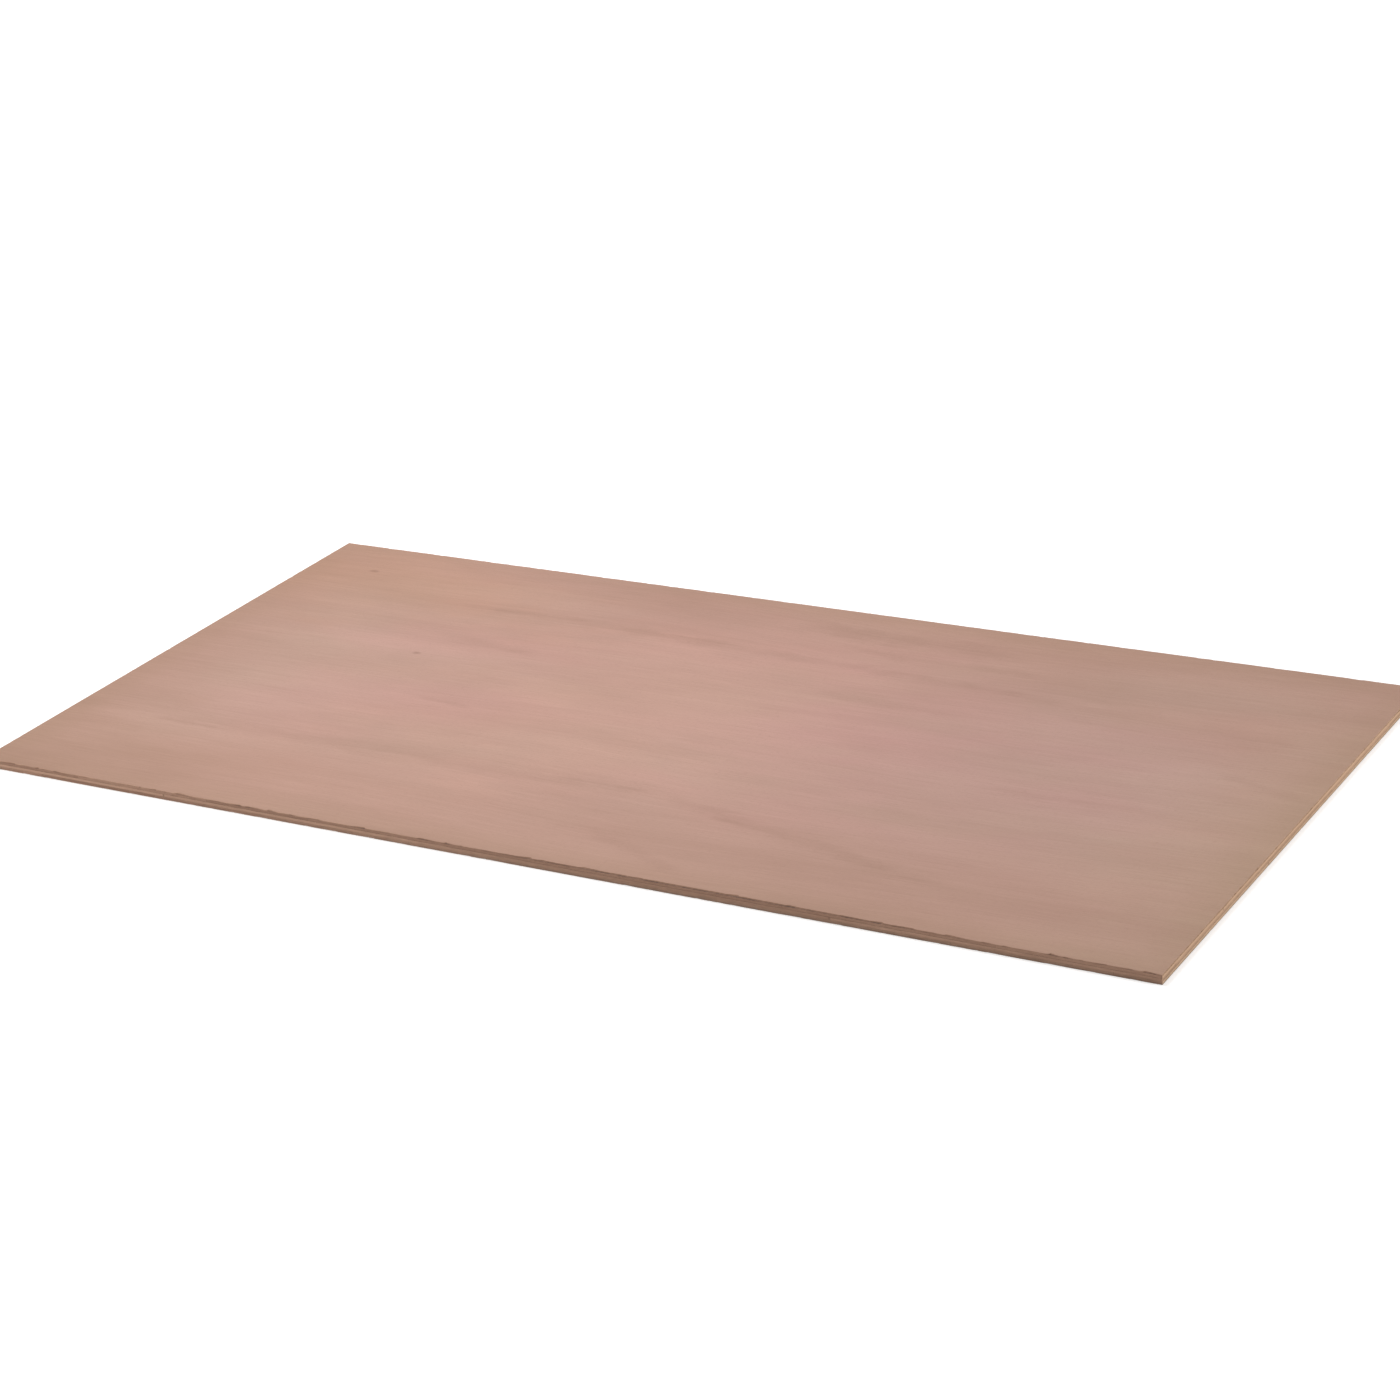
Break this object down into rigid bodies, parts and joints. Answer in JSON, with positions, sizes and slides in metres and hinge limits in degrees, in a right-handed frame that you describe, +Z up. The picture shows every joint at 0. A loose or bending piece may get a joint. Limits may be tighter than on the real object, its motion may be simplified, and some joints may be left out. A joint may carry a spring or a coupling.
{
  "type": "plywood sheet",
  "caption": "Flat rectangular sheet of cross-laminated wood veneers with square-sawn edges that show the plies; stock for panels, floors, shelves and boxes.",
  "frame": {"origin": "centre of the underside of the sheet", "axes": "+X along the length and the grain of the face veneer, +Y across the width, +Z up out of the face"},
  "size_m": [2.44, 1.22, 0.018],
  "materials": {
    "plywood": "matte"
  },
  "bodies": {
    "root": {"plywood_sheet": "plywood"}
  },
  "joints": []
}
